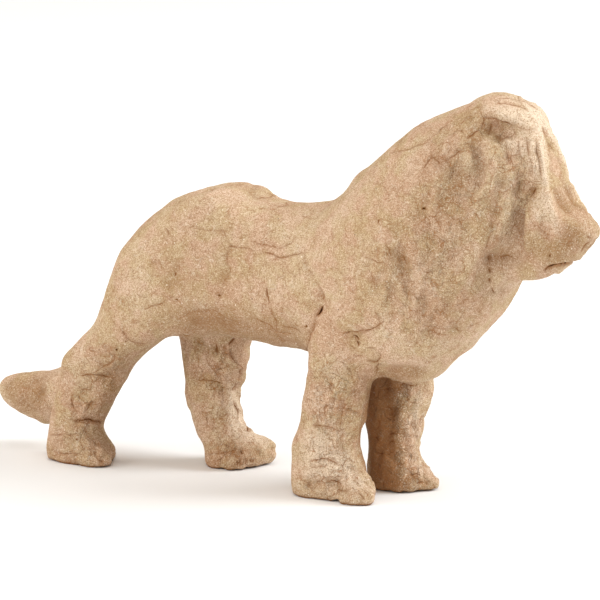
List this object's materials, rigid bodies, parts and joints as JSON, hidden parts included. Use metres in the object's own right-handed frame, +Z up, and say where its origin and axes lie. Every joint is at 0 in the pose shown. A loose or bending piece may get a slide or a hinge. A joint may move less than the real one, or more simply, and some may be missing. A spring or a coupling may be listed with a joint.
{
  "type": "papier-mache lion figure",
  "caption": "Standing lion moulded in plain kraft papier-mache, a small hollow blank for painting, with a full mane, a hanging tail and four flat paws.",
  "frame": {"origin": "on the ground under the middle of the lion's box", "axes": "+X the way the lion faces, +Y its left side, +Z up"},
  "size_m": [0.173, 0.041, 0.1043],
  "materials": {
    "kraft_paper": "unpainted brown paper pulp, matt, with fibres, wrinkles and small specks"
  },
  "bodies": {
    "root": {"lion": "kraft_paper"}
  },
  "joints": []
}
